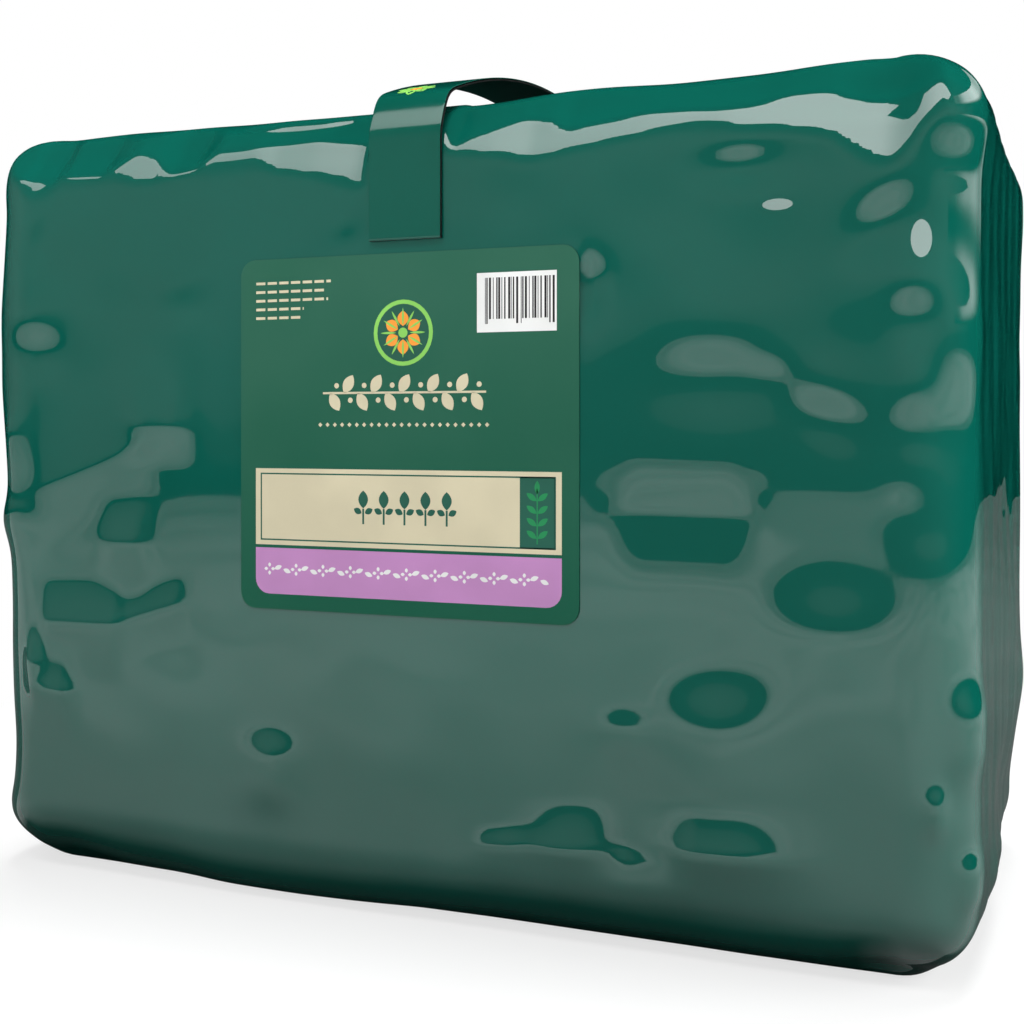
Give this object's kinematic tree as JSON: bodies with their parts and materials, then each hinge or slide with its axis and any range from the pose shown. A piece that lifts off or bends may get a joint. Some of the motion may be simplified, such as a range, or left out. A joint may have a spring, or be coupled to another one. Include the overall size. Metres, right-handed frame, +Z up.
{
  "type": "compressed hay bale",
  "caption": "Block of compressed hay in a glossy plastic wrapper, with a flat carrying strap over the top and a rounded label on the front.",
  "frame": {"origin": "centre of the bottom face, on the surface the bale stands on", "axes": "+Z up; +X along the bale's length, to the right seen from the labelled side; the labelled face looks along -Y"},
  "size_m": [0.5212, 0.2906, 0.4208],
  "materials": {
    "film": "glossy stretched film, dark green",
    "label": "satin printed label, green with cream, lime, orange and lavender",
    "strap_print": "glossy printed tape, green",
    "strap_back": "dull black webbing"
  },
  "bodies": {
    "root": {"wrapped_bale": "film", "front_label": "label", "strap_face": "strap_print", "strap_backing": "strap_back"}
  },
  "joints": []
}
